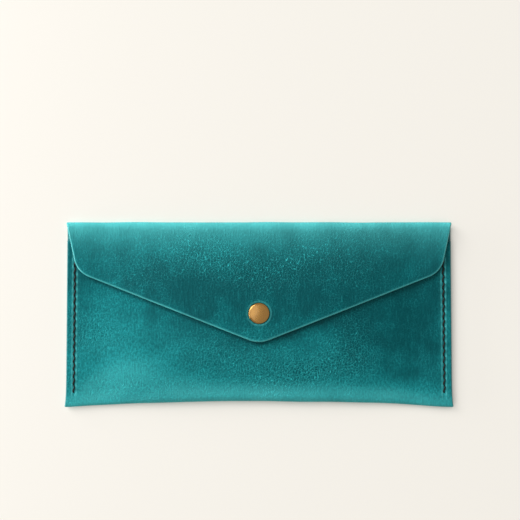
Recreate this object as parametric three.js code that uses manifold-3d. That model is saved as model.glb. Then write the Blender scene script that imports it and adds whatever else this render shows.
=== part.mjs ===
import * as THREE from "three";
import { mergeVertices } from "three/addons/utils/BufferGeometryUtils.js";
import Module from "manifold-3d";

// A long envelope wallet, folded from one skin of leather and stitched down both sides.
// It lies on its back, as it comes to rest on a table. All sizes are in millimetres.
// +X runs along the wallet, +Y from the bottom fold to the top fold, +Z out of its front.
// The origin is under the middle of the wallet, on the surface that it lies on.

// The skin and the outline of the closed wallet
const leather = 1.3;
const walletWidth = 200;
const walletHeight = 95;
const mouthBelowTop = 9.5;
const bottomRise = 3;
const sideTaper = 0.8;
const cornerFlare = 0.8;
const cornerFlareLength = 4;
const foldFlare = 0.4;
const foldFlareLength = 3;

// How far the pocket is filled out, and what that does to its panels
const pocketDepth = 6;
const bottomShare = 0.6;
const mouthShare = 0.76;
const deepestPlace = 0.4;
const pinchedShare = 0.95;
const layerGap = 0.2;
const seamLift = 1.1;
const liftStart = 0.78;

// The flap, as seen from the front
const flapLength = 62.3;
const flapSideLength = 25.6;
const flapSideTaper = 5.4;
const flapCornerRadius = 12.4;
const flapTipRadius = 14;
const flapHover = 1.2;
const hingeGap = 0.3;
const flapOpensTo = 155;

// The saddle stitching
const threadRadius = 0.35;
const crossingRadius = 0.3;
const stitchPitch = 3.8;
const stitchCount = 20;
const seamMargin = 3.6;
const seamAboveBottom = 7.4;
const stitchSlant = 0.25;
const stitchCrown = 0.22;
const stitchDip = 0.9;
const grooveDepth = 0.5;
const threadClearance = 0.2;

// The ring snap: a cap and socket on the flap, a stud and its post on the front panel
const snapAboveTip = 15.7;
const snapGap = 2.6;
const snapDent = 1;
const snapDentRadius = 18;
const flapSwell = 0.4;
const flapSwellRadius = 30;
const capRadius = 5.5;
const capHeight = 1;
const capPostRadius = 1.7;
const capPostBore = 1.2;
const capPostFlare = 2.2;
const socketRadius = 5;
const socketPlate = 0.35;
const socketMouth = 2.7;
const socketChamber = 3;
const springRing = 3;
const springWire = 0.2;
const springOpening = 25;
const studFlangeRadius = 4.8;
const studFlange = 0.4;
const studKnob = 2.4;
const studNeck = 2;
const studBore = 1.55;
const postFlangeRadius = 4.5;
const postFlange = 0.4;
const postRadius = 1.3;
const postBore = 0.9;
const seatDepth = 0.15;
const seatClearance = 0.05;
const pieceClearance = 0.3;

// How finely the curved leather and the turned metal are divided
const acrossSegments = 20;
const foldSegments = 8;
const frontSegments = 8;
const flapSegments = 8;
const turnedSegments = 24;
const threadSides = 5;
const crossingSides = 4;
const stepsPerStitch = 4;

// Places that follow from those sizes
const topEdge = walletHeight / 2;
const bottomEdge = -walletHeight / 2;
const mouthEdge = topEdge - mouthBelowTop;
const flapTip = topEdge - flapLength;
const snapPlace = flapTip + snapAboveTip;
const rightAngle = Math.PI / 2;
const halfTurn = Math.PI;
const reach = 4 * leather + pocketDepth + snapGap;

const wasm = await Module();
wasm.setup();

function smooth(from, to, value) {
  return THREE.MathUtils.smoothstep(value, from, to);
}

// The filled-out form of the leather. across is 0 in the middle and 1 at the side edges.

function bellAcross(across, end) {
  const share = Math.min(across / end, 1);
  return (1 - share ** 3) ** 1.5;
}

function liftOfBack(across) {
  return seamLift * smooth(liftStart, pinchedShare, across);
}

function fillAlong(along) {
  const early = bottomShare + ((1 - bottomShare) * (1 - Math.cos((halfTurn * along) / deepestPlace))) / 2;
  if (along < deepestPlace) return early;
  const past = Math.min((along - deepestPlace) / (1 - deepestPlace), 1);
  return mouthShare + ((1 - mouthShare) * (1 + Math.cos(halfTurn * past))) / 2;
}

function pocketGap(across, along) {
  return layerGap + pocketDepth * bellAcross(across, pinchedShare) * fillAlong(along);
}

function bottomFoldAt(across) {
  const radius = leather + pocketGap(across, 0) / 2;
  return {
    radius,
    y: bottomEdge + bottomRise * bellAcross(across, 1) + radius,
    z: liftOfBack(across) + radius,
  };
}

// The front panel's inner face before the snap dents it, and carried on past its mouth.
function plainFront(across, y) {
  const start = bottomFoldAt(across).y;
  const along = Math.max((y - start) / (mouthEdge - start), 0);
  return liftOfBack(across) + leather + pocketGap(across, along);
}

function halfWidthAt(y) {
  const share = (y - bottomEdge) / walletHeight;
  const straight = walletWidth / 2 - cornerFlare - sideTaper * share;
  const corner = cornerFlare * Math.exp(-(y - bottomEdge) / cornerFlareLength);
  const shoulder = foldFlare * Math.exp(-(topEdge - y) / foldFlareLength);
  return straight + corner + shoulder;
}

function fromSnap(across, y) {
  return Math.hypot(across * halfWidthAt(y), y - snapPlace);
}

function frontInner(across, y) {
  const dent = snapDent * Math.exp(-((fromSnap(across, y) / snapDentRadius) ** 2));
  return plainFront(across, y) - dent;
}

function flapInner(across, y) {
  const swell = flapSwell * Math.exp(-((fromSnap(across, y) / flapSwellRadius) ** 2));
  const snapLift = snapGap - snapDent - flapHover - flapSwell;
  return plainFront(across, y) + leather + flapHover + swell + snapLift;
}

function topFoldAt(across) {
  const back = liftOfBack(across);
  let radius = (plainFront(across, mouthEdge) + 2 * leather + flapHover - back) / 2;
  for (let turn = 0; turn < 4; turn += 1) {
    radius = (flapInner(across, topEdge - radius) + leather - back) / 2;
  }
  return { radius, y: topEdge - radius, z: back + radius };
}

// The flap is split from the body in a level plane through the fold, where the skin bends.
const hingeHeight = topFoldAt(1).z;

// A point of the skin: its outer face and its inner face, in one cross-section.
function onFold(fold, angle) {
  const y = Math.cos(angle);
  const z = Math.sin(angle);
  return {
    outer: [fold.y + fold.radius * y, fold.z + fold.radius * z],
    inner: [fold.y + (fold.radius - leather) * y, fold.z + (fold.radius - leather) * z],
  };
}

function course(count, make) {
  return Array.from({ length: count + 1 }, (_, i) => make(i / count));
}

const pastHinge = 0.4;

function bodySection(across) {
  const top = topFoldAt(across);
  const bottom = bottomFoldAt(across);
  const back = liftOfBack(across);
  const topArc = course(foldSegments / 2 + 1, (t) =>
    onFold(top, THREE.MathUtils.lerp(pastHinge, -rightAngle, t)),
  );
  const backPanel = course(4, (t) => {
    const y = THREE.MathUtils.lerp(top.y, bottom.y, 1 - (1 - t) ** 2);
    return { outer: [y, back], inner: [y, back + leather] };
  });
  const bottomArc = course(foldSegments, (t) => onFold(bottom, -rightAngle - halfTurn * t));
  const frontPanel = course(frontSegments, (t) => {
    const y = THREE.MathUtils.lerp(bottom.y, mouthEdge, t);
    const inner = frontInner(across, y);
    return { outer: [y, inner + leather], inner: [y, inner] };
  });
  return [topArc, backPanel.slice(1), bottomArc.slice(1), frontPanel.slice(1)].flat();
}

function flapSection(across) {
  const top = topFoldAt(across);
  const panel = course(flapSegments, (t) => {
    const y = THREE.MathUtils.lerp(flapTip, top.y, t);
    const inner = flapInner(across, y);
    return { outer: [y, inner + leather], inner: [y, inner] };
  });
  const arc = course(foldSegments / 2 + 1, (t) =>
    onFold(top, THREE.MathUtils.lerp(rightAngle, -pastHinge, t)),
  );
  return [panel, arc.slice(1)].flat();
}

// A flat blank, divided across and along, is bent so that each of its lines follows a section.
function foldedSkin(section) {
  const courses = section(0).length - 1;
  const blank = new THREE.BoxGeometry(2, 1, 1, acrossSegments, courses, 1);
  const place = blank.getAttribute("position");
  for (let i = 0; i < place.count; i += 1) {
    const side = Math.sin(rightAngle * place.getX(i));
    const line = Math.round((place.getY(i) + 0.5) * courses);
    const point = section(Math.abs(side))[line];
    const [y, z] = place.getZ(i) > 0 ? point.outer : point.inner;
    place.setXYZ(i, side * halfWidthAt(point.outer[0]), y, z);
  }
  return blank;
}

function toSolid(geometry) {
  const bare = new THREE.BufferGeometry();
  bare.setAttribute("position", geometry.getAttribute("position"));
  if (geometry.index) bare.setIndex(geometry.index);
  const merged = mergeVertices(bare, 1e-4);
  const vertProperties = new Float32Array(merged.getAttribute("position").array);
  const triVerts = new Uint32Array(merged.index.array);
  return new wasm.Manifold(new wasm.Mesh({ numProp: 3, vertProperties, triVerts }));
}

function toGeometry(solid) {
  const { vertProperties, triVerts } = solid.getMesh();
  const geometry = new THREE.BufferGeometry();
  geometry.setAttribute("position", new THREE.BufferAttribute(vertProperties, 3));
  geometry.setIndex(new THREE.BufferAttribute(triVerts, 1));
  geometry.computeVertexNormals();
  return geometry;
}

// Cutters, placed where they cut

function block(low, high) {
  const size = high.map((value, axis) => value - low[axis]);
  const middle = high.map((value, axis) => (value + low[axis]) / 2);
  return toSolid(new THREE.BoxGeometry(...size).translate(...middle));
}

function disc(radius, low, high) {
  const shape = new THREE.CylinderGeometry(radius, radius, high - low, turnedSegments);
  return toSolid(shape.rotateX(rightAngle).translate(0, snapPlace, (low + high) / 2));
}

// A polygon that starts with its plain corners; the others are rounded by their own radius.
function roundedOutline(plain, rounded) {
  const shape = new THREE.Shape();
  const ring = [...plain, ...rounded.map(({ at }) => at)];
  shape.moveTo(plain[0].x, plain[0].y);
  plain.slice(1).forEach(({ x, y }) => shape.lineTo(x, y));
  rounded.forEach(({ at, radius }, i) => {
    const place = plain.length + i;
    const before = ring[place - 1].clone().sub(at).normalize();
    const after = ring[(place + 1) % ring.length].clone().sub(at).normalize();
    const half = before.angleTo(after) / 2;
    const tangent = radius / Math.tan(half);
    const centre = before.clone().add(after).setLength(radius / Math.sin(half)).add(at);
    const start = before.multiplyScalar(tangent).add(at).sub(centre).angle();
    const end = after.multiplyScalar(tangent).add(at).sub(centre).angle();
    shape.absarc(centre.x, centre.y, radius, start, end, false);
  });
  return shape;
}

function flapOutline() {
  const shoulder = halfWidthAt(topEdge);
  const corner = shoulder - flapSideTaper;
  const over = foldFlareLength;
  const topX = shoulder + (flapSideTaper / flapSideLength) * over;
  const cornerY = topEdge - flapSideLength;
  const plain = [new THREE.Vector2(topX, topEdge + over), new THREE.Vector2(-topX, topEdge + over)];
  return roundedOutline(plain, [
    { at: new THREE.Vector2(-corner, cornerY), radius: flapCornerRadius },
    { at: new THREE.Vector2(0, flapTip), radius: flapTipRadius },
    { at: new THREE.Vector2(corner, cornerY), radius: flapCornerRadius },
  ]);
}

// Each seam is one straight row of holes at a fixed margin from the side edge.
const seamFlat = { front: frontInner(1, 0) + leather, back: liftOfBack(1) };
const seamStart = bottomEdge + seamAboveBottom;
const seamLength = stitchPitch * stitchCount;

function seamLine(side) {
  const low = new THREE.Vector2(side * (halfWidthAt(seamStart) - seamMargin), seamStart);
  const end = seamStart + seamLength;
  const high = new THREE.Vector2(side * (halfWidthAt(end) - seamMargin), end);
  return { low, high, lean: Math.atan2(low.x - high.x, high.y - low.y) };
}

function onSeam(seam, width, length, low, high, along) {
  const shape = new THREE.BoxGeometry(width, length, high - low).rotateZ(seam.lean);
  const middle = seam.low.clone().lerp(seam.high, along);
  return toSolid(shape.translate(middle.x, middle.y, (low + high) / 2));
}

function seamCutter(side) {
  const seam = seamLine(side);
  const room = threadRadius + threadClearance;
  const grooveWidth = 2 * (room + stitchSlant);
  const grooveLength = seamLength + 4 * room;
  const holeLength = 2 * room + stitchPitch / 4;
  const front = seamFlat.front - grooveDepth;
  const back = seamFlat.back + grooveDepth;
  let cutter = onSeam(seam, grooveWidth, grooveLength, front, front + reach, 0.5);
  cutter = cutter.add(onSeam(seam, grooveWidth, grooveLength, back - reach, back, 0.5));
  for (let i = 0; i <= stitchCount; i += 1) {
    const along = i / stitchCount;
    cutter = cutter.add(onSeam(seam, grooveWidth, holeLength, back - leather, front + leather, along));
  }
  return cutter;
}

// One face's run of stitches: it rises out of each hole, leans across and dips into the next.
class StitchRun extends THREE.Curve {
  constructor(seam, face, outward) {
    super();
    this.seam = seam;
    this.face = face;
    this.outward = outward;
    this.arcLengthDivisions = stitchCount * 64;
  }

  getPoint(t, target = new THREE.Vector3()) {
    const stitch = (t * stitchCount) % 1;
    const height = stitchCrown - (stitchCrown + stitchDip) * (1 - Math.sin(halfTurn * stitch)) ** 2;
    const lean = -stitchSlant * Math.sin(2 * halfTurn * stitch);
    const place = this.seam.low.clone().lerp(this.seam.high, t);
    return target.set(place.x + lean, place.y, this.face + this.outward * height);
  }
}

function threadSection() {
  const points = course(threadSides, (t) => {
    const angle = 2 * halfTurn * t;
    return new THREE.Vector2(Math.cos(angle), Math.sin(angle)).multiplyScalar(threadRadius);
  });
  return new THREE.Shape(points.slice(0, -1));
}

function stitchTube(seam, face, outward) {
  const extrudePath = new StitchRun(seam, face, outward);
  const steps = stitchCount * stepsPerStitch;
  return toSolid(new THREE.ExtrudeGeometry(threadSection(), { steps, extrudePath }));
}

function seamThread(side) {
  const seam = seamLine(side);
  let thread = stitchTube(seam, seamFlat.front, 1).add(stitchTube(seam, seamFlat.back, -1));
  const low = seamFlat.back + stitchDip;
  const high = seamFlat.front - stitchDip;
  for (let i = 0; i <= stitchCount; i += 1) {
    const place = seam.low.clone().lerp(seam.high, i / stitchCount);
    const post = new THREE.CylinderGeometry(crossingRadius, crossingRadius, high - low, crossingSides);
    post.rotateX(rightAngle).translate(place.x, place.y, (low + high) / 2);
    thread = thread.add(toSolid(post));
  }
  return toGeometry(thread);
}

// The faces that the snap's pieces sit on, each a little into the leather
const frontSeat = frontInner(0, snapPlace) + leather - seatDepth;
const pocketSeat = frontInner(0, snapPlace) + seatDepth;
const capSeat = flapInner(0, snapPlace) + leather - seatDepth;
const socketSeat = flapInner(0, snapPlace) + seatDepth;

function leatherBody() {
  const beyond = walletWidth;
  const hole = postRadius + pieceClearance;
  const split = hingeHeight - hingeGap / 2;
  let body = toSolid(foldedSkin(bodySection));
  body = body.subtract(block([-beyond, mouthEdge + leather, split], [beyond, topEdge + reach, split + reach]));
  body = body.subtract(disc(hole, pocketSeat - leather, frontSeat + leather));
  body = body.subtract(disc(studFlangeRadius + pieceClearance, frontSeat, frontSeat + leather));
  body = body.subtract(disc(postFlangeRadius + pieceClearance, pocketSeat - leather, pocketSeat));
  body = body.subtract(seamCutter(1)).subtract(seamCutter(-1));
  return toGeometry(body);
}

function leatherFlap() {
  const beyond = walletWidth;
  const hole = capPostRadius + pieceClearance;
  const split = hingeHeight + hingeGap / 2;
  const outline = new THREE.ExtrudeGeometry(flapOutline(), {
    depth: 2 * reach,
    bevelEnabled: false,
    curveSegments: 8,
  });
  let flap = toSolid(foldedSkin(flapSection)).intersect(toSolid(outline));
  flap = flap.subtract(block([-beyond, mouthEdge, split - reach], [beyond, topEdge + reach, split]));
  flap = flap.subtract(disc(hole, socketSeat - leather, capSeat + leather));
  flap = flap.subtract(disc(capRadius + pieceClearance, capSeat, capSeat + leather));
  flap = flap.subtract(disc(socketRadius + pieceClearance, socketSeat - leather, socketSeat));
  return toGeometry(flap);
}

// A turned piece on the snap's axis, from a closed profile of radius and height
function turned(points, seat) {
  const profile = points.map(([radius, height]) => new THREE.Vector2(radius, height));
  if (points[0][0] > 0) profile.push(profile[0].clone());
  const shape = new THREE.LatheGeometry(profile, turnedSegments);
  return toGeometry(toSolid(shape.rotateX(rightAngle).translate(0, snapPlace, seat)));
}

// Heights in the snap's stack are measured from the flap's inner face.
const snapTop = flapInner(0, snapPlace);
const plateUnder = seatDepth - seatClearance - socketPlate;
const flareEnd = plateUnder - seatClearance - pieceClearance;
const knobTop = flareEnd - pieceClearance;
const studBase = -snapGap - seatDepth + seatClearance;
const flangeTop = studBase + studFlange;
const socketEnd = flangeTop + 2 * seatClearance;
const knobWidest = knobTop - pieceClearance;
const springPlace = socketEnd + 2 * springWire;

function snapCap() {
  const seat = leather - seatDepth + seatClearance;
  const under = flareEnd + seatClearance;
  const rim = capHeight / 3;
  const profile = [
    [0, seat + seatClearance * 4],
    [capPostBore, seat + seatClearance * 2],
    [capPostBore, under],
    [capPostFlare - rim, flareEnd],
    [capPostFlare, under],
    [capPostFlare, under + seatClearance],
    [capPostRadius, plateUnder - seatClearance],
    [capPostRadius, seat],
    [capRadius - rim, seat],
    [capRadius, seat + rim],
    [capRadius * 0.97, seat + rim * 1.7],
    [capRadius * 0.88, seat + capHeight * 0.82],
    [capRadius * 0.6, seat + capHeight * 0.95],
    [0, seat + capHeight],
  ];
  return turned(profile, snapTop);
}

function snapSocket() {
  const top = seatDepth - seatClearance;
  const room = springWire + seatClearance;
  const shoulder = springPlace + room;
  const groove = springRing + springWire + 2 * seatClearance;
  const round = (socketRadius - groove) / 3;
  return turned(
    [
      [capPostRadius + seatClearance * 4, plateUnder],
      [socketChamber, plateUnder],
      [socketChamber, shoulder],
      [groove, shoulder],
      [groove, springPlace - room],
      [socketMouth, springPlace - room],
      [socketMouth, socketEnd],
      [socketRadius - round, socketEnd],
      [socketRadius, socketEnd + round],
      [socketRadius, top - round],
      [socketRadius - round, top],
      [capPostRadius + seatClearance * 4, top],
    ],
    snapTop,
  );
}

function snapSpring() {
  const opening = THREE.MathUtils.degToRad(springOpening);
  const section = new THREE.Shape().absarc(0, 0, springWire, 0, 2 * halfTurn, false);
  const ring = new THREE.CatmullRomCurve3(
    course(turnedSegments, (t) => {
      const angle = rightAngle + opening / 2 + (2 * halfTurn - opening) * t;
      const place = new THREE.Vector2(Math.cos(angle), Math.sin(angle)).multiplyScalar(springRing);
      return new THREE.Vector3(place.x, snapPlace + place.y, snapTop + springPlace);
    }),
  );
  const options = { steps: turnedSegments, extrudePath: ring, curveSegments: 4 };
  return toGeometry(toSolid(new THREE.ExtrudeGeometry(section, options)));
}

function snapStud() {
  const round = studFlange / 2;
  const wall = studKnob - studBore;
  return turned(
    [
      [studBore, studBase],
      [studFlangeRadius - round, studBase],
      [studFlangeRadius, studBase + round],
      [studFlangeRadius - round, flangeTop],
      [studNeck, flangeTop],
      [studNeck, (flangeTop + knobWidest) / 2],
      [studKnob, knobWidest],
      [studKnob - round, knobTop - seatClearance],
      [studBore - round, knobTop],
      [0, knobTop],
      [0, knobTop - wall / 3],
      [studBore, knobTop - wall / 3],
    ],
    snapTop,
  );
}

function snapPost() {
  const seat = -snapGap - leather + seatDepth - seatClearance;
  const end = knobTop - pieceClearance * 2;
  const round = postFlange / 3;
  return turned(
    [
      [postBore, seat - postFlange],
      [postFlangeRadius - round, seat - postFlange],
      [postFlangeRadius, seat - round],
      [postFlangeRadius - round, seat],
      [postRadius, seat],
      [postRadius, end - round],
      [postRadius - round, end],
      [postBore, end],
    ],
    snapTop,
  );
}

function tealLeather() {
  return new THREE.MeshStandardMaterial({ color: 0x17797c, roughness: 0.5, metalness: 0 });
}

function waxedThread() {
  return new THREE.MeshStandardMaterial({ color: 0x1c1a1a, roughness: 0.7, metalness: 0 });
}

function antiqueBrass() {
  return new THREE.MeshStandardMaterial({ color: 0xb08a50, roughness: 0.35, metalness: 1 });
}

function springSteel() {
  return new THREE.MeshStandardMaterial({ color: 0xb9bcc0, roughness: 0.3, metalness: 1 });
}

function piece(name, geometry, material) {
  const mesh = new THREE.Mesh(geometry, material);
  mesh.name = name;
  return mesh;
}

const body = new THREE.Group();
body.add(
  piece("leather_body", leatherBody(), tealLeather()),
  piece("left_seam_thread", seamThread(-1), waxedThread()),
  piece("right_seam_thread", seamThread(1), waxedThread()),
  piece("snap_stud", snapStud(), antiqueBrass()),
  piece("snap_post", snapPost(), antiqueBrass()),
);

// The flap turns with the cap, socket and spring about a line along the top fold.
const flap = new THREE.Group();
flap.userData.hinge = { y: topEdge, z: hingeHeight, opensTo: flapOpensTo };
flap.add(
  piece("leather_flap", leatherFlap(), tealLeather()),
  piece("snap_cap", snapCap(), antiqueBrass()),
  piece("snap_socket", snapSocket(), antiqueBrass()),
  piece("snap_spring", snapSpring(), springSteel()),
);

const wallet = new THREE.Group();
wallet.add(body, flap);

export default wallet;
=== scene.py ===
"""A long envelope wallet of waxed teal leather, stitched down both sides and closed by a ring snap.

It lies on its back on a pale floor, and the camera looks straight down on it. Lengths are in metres.
+X runs along the wallet, +Y from the bottom fold to the top fold, +Z out of its front.
"""

import math

import bpy
import numpy as np
from bpy.props import FloatProperty, FloatVectorProperty, IntProperty, PointerProperty
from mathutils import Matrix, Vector


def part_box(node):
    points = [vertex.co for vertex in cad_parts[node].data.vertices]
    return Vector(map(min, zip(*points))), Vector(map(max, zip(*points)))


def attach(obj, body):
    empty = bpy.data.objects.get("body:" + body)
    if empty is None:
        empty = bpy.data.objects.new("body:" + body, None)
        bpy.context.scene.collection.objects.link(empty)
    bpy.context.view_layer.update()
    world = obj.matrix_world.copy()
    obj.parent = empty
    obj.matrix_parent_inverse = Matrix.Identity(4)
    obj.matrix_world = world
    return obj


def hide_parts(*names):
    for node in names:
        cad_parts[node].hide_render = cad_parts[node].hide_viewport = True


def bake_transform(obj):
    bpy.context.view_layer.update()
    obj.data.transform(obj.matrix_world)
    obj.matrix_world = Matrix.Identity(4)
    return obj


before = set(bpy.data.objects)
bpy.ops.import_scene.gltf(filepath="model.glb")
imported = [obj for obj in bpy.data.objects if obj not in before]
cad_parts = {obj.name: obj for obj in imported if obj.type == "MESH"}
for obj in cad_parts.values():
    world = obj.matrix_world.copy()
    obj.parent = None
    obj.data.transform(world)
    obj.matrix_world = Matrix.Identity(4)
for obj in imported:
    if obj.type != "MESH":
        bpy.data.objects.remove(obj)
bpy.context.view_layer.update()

bl_info = {
    "name": "Envelope wallet",
    "version": (1, 0, 0),
    "blender": (4, 5, 0),
    "location": "3D View > Sidebar > Wallet",
    "description": "Builds a leather envelope wallet and the stage it is photographed on",
    "category": "Add Mesh",
}

MM = 0.001
BLANK_MAP = "blank"

body_low, body_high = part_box("leather_body")
cap_low, cap_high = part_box("snap_cap")
socket_low, socket_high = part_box("snap_socket")
spring_low, spring_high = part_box("snap_spring")
stud_low, stud_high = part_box("snap_stud")
post_low, post_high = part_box("snap_post")

TOP = body_high.y
BOTTOM = body_low.y
SNAP_Y = (cap_low.y + cap_high.y) / 2


def linear(hex_colour):
    """An sRGB hex colour as linear red, green, blue and alpha."""
    parts = [int(hex_colour[i : i + 2], 16) / 255 for i in (1, 3, 5)]
    return [p / 12.92 if p <= 0.04045 else ((p + 0.055) / 1.055) ** 2.4 for p in parts] + [1.0]


def length(name, description, default):
    """A size in the sidebar."""
    return FloatProperty(name=name, description=description, default=default, unit="LENGTH", precision=5)


def colour(name, description, hex_colour):
    """A colour in the sidebar."""
    default = linear(hex_colour)
    return FloatVectorProperty(name=name, description=description, default=default, subtype="COLOR", size=4)


class LeatherSizes(bpy.types.PropertyGroup):
    """How the skin is cut, folded and filled out"""

    skin: length("Skin", "Thickness of the leather", 1.3 * MM)
    edge_round: length("Edge rounding", "How far the burnished edge is rounded", 0.6 * MM)
    width: length("Width", "Width at the bottom corners", body_high.x - body_low.x)
    mouth: length("Mouth", "How far the front panel stops below the top fold", 9.5 * MM)
    bottom_rise: length("Bottom rise", "How far the bottom fold arches up in the middle", 3 * MM)
    side_taper: length("Side taper", "How much each side draws in towards the top", 0.8 * MM)
    corner_flare: length("Corner flare", "How far the bottom corners stand out", 0.8 * MM)
    corner_length: length("Corner flare length", "How soon that flare dies away", 4 * MM)
    fold_flare: length("Fold flare", "How far the top fold stands out at its ends", 0.4 * MM)
    fold_length: length("Fold flare length", "How soon that flare dies away", 3 * MM)
    pocket: length("Pocket depth", "How far the pocket is filled out", 6 * MM)
    layer_gap: length("Layer gap", "Room between the panels at the seams", 0.2 * MM)
    seam_lift: length("Seam lift", "How far the seams curl off the table", 1.1 * MM)
    hover: length("Flap hover", "Room between the flap and the front panel", 1.2 * MM)
    snap_dent: length("Snap dent", "How far the snap presses the front panel in", 1 * MM)
    dent_radius: length("Dent radius", "How wide that dent is", 18 * MM)
    flap_swell: length("Flap swell", "How far the snap holds the flap out", 0.4 * MM)
    swell_radius: length("Swell radius", "How wide that swelling is", 30 * MM)
    ripple: length("Ripple", "Height of the slow waves in the skin", 0.26 * MM)


class FlapSizes(bpy.types.PropertyGroup):
    """The outline of the flap, seen from the front"""

    reach: length("Reach", "From the top fold to the unrounded tip", 62.3 * MM)
    side: length("Side", "From the top fold to the unrounded corner", 25.6 * MM)
    taper: length("Taper", "How far in that corner is from the end of the fold", 5.4 * MM)
    corner_radius: length("Corner radius", "Radius of the two side corners", 12.4 * MM)
    tip_radius: length("Tip radius", "Radius of the tip", 14 * MM)
    butt: length("Joining line", "How far below the top fold the two meshes of the skin meet", 7 * MM)


class StitchSizes(bpy.types.PropertyGroup):
    """The saddle stitching of the side seams"""

    pitch: length("Pitch", "From one stitch hole to the next", 3.8 * MM)
    count: IntProperty(name="Stitches", description="Stitches in each seam", default=20, min=1)
    margin: length("Margin", "From the side edge to the stitches", 4.1 * MM)
    start: length("Start", "From the bottom corner to the first hole", 7.4 * MM)
    thread: length("Thread radius", "Radius of the waxed thread", 0.41 * MM)
    slant: length("Slant", "How far each stitch leans to either side", 0.3 * MM)
    crown: length("Crown", "How far a stitch's centre line rises out of the leather", 0.2 * MM)
    dip: length("Dip", "How far the thread sinks at a hole", 0.9 * MM)
    pull: length("Pull", "How deep the thread pulls the leather in at a hole", 0.42 * MM)


class WalletColours(bpy.types.PropertyGroup):
    """Colours of the leather, thread and metal"""

    deep: colour("Deep teal", "Leather where its wax lies thickest", "#004d52")
    teal: colour("Teal", "Leather as it came from the drum", "#056c71")
    # Also painted light where the spots of the front lay it on as a sheen.
    pale: colour("Pale teal", "Leather where the wax is drawn thin", "#22989c")
    # Also painted light: this colour paints the folds' reflection of the bright floor and the sheen of lit
    # spots on the front.
    worn_and_sheen: colour("Worn teal", "Leather bent hard over a fold", "#56c6c8")
    line: colour("Crease teal", "The fine creases of worked leather", "#36bfc3")
    flesh: colour("Flesh side", "The napped back of the leather", "#5f9c9b")
    # Pale partly as a painted highlight of the edge that faces the light.
    edge: colour("Edge", "The burnished edge", "#5cc4c2")
    thread: colour("Thread", "Waxed thread", "#080707")
    wax: colour("Wax", "Wax on the thread where it is polished", "#120f0e")
    brass: colour("Brass", "Antique brass of the snap", "#8c6834")
    tarnish: colour("Tarnish", "The darker tarnish on that brass", "#7a5630")
    steel: colour("Steel", "Spring wire", "#b9bcc0")
    floor: colour("Floor", "The pale table", "#f6f2ea")
    daylight: colour("Daylight", "Soft light from all round", "#fffdf8")


def feed(tree, node, inputs):
    """Gives a node's inputs their values: each is a number, a colour or the output that feeds it."""
    for name, value in inputs.items():
        if isinstance(value, bpy.types.NodeSocket):
            tree.links.new(value, node.inputs[name])
        else:
            node.inputs[name].default_value = value


def add_node(tree, kind, settings, inputs, output=0):
    """Adds a node with its own settings and its inputs, and returns one of its outputs."""
    made = tree.nodes.new("ShaderNode" + kind)
    for name, value in settings.items():
        setattr(made, name, value)
    feed(tree, made, inputs)
    return made.outputs[output]


# Settings that many nodes share
FLAT = {"noise_dimensions": "2D"}
EASED = {"interpolation_type": "SMOOTHSTEP"}
TIMES = {"operation": "MULTIPLY"}
PLUS = {"operation": "ADD"}
TIMES_PLUS = {"operation": "MULTIPLY_ADD"}
LARGER = {"operation": "MAXIMUM"}
COLOUR_MIX = {"data_type": "RGBA"}
# A colour Mix node names its sockets twice, so they are reached by place.
FACTOR, FIRST, SECOND, MIXED = 0, 6, 7, 2


def new_material(name):
    """A material, its node tree and its one Principled shader."""
    material = bpy.data.materials.new(name)
    material.use_nodes = True
    return material, material.node_tree, material.node_tree.nodes["Principled BSDF"]


# Leather patterns are laid out on the flat blank, so they stay put as the skin bends.
BLANK_WIDTH = body_high.x - body_low.x
BLANK_LENGTH = 300 * MM
BLANK_ORIGIN = 0.75

# Sizes of the patterns, in real millimetres.
# The dye drifts in clouds, and the wax has moved in patches.
CLOUD = 40
PATCH = 12
# Grain opens into a net of creases, bent by slower waves. Real grain is about 0.4 mm wide, too fine to show
# from this far, so it is drawn three times as coarse, and so are the pores.
GRAIN = 1.4
WARP = 3.2
WARP_REACH = 3.0
PORE = 1.0
PORE_STRETCH = 0.6
# Marks where the skin was dragged through the finishing rollers
DRAG_WIDTH = 1.0
DRAG_LENGTH = 7.5
# Tufts of the nap on the back, drawn coarser than the real 0.5 mm, and the patches in which it lies over
NAP = 1.3
NAP_PATCH = 16
# Fibres packed together in the cut edge
EDGE_FIBRE = 0.9
# Fibres of the thread, spots of tarnish, and lines left by drawing the wire
THREAD_FIBRE = 0.25
TARNISH_SPOT = 1.6
DRAW_LINE = 0.2
# Leather and wax bend light alike.
LEATHER_IOR = 1.48


def blank_millimetres(tree):
    """Places on the flat blank, in millimetres."""
    flat = add_node(tree, "UVMap", {"uv_map": BLANK_MAP}, {}, "UV")
    return add_node(tree, "VectorMath", TIMES, {0: flat, 1: (BLANK_WIDTH / MM, BLANK_LENGTH / MM, 1)})


def object_place(tree):
    """Places on the piece itself, in metres."""
    return add_node(tree, "TexCoord", {}, {}, "Object")


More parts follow.
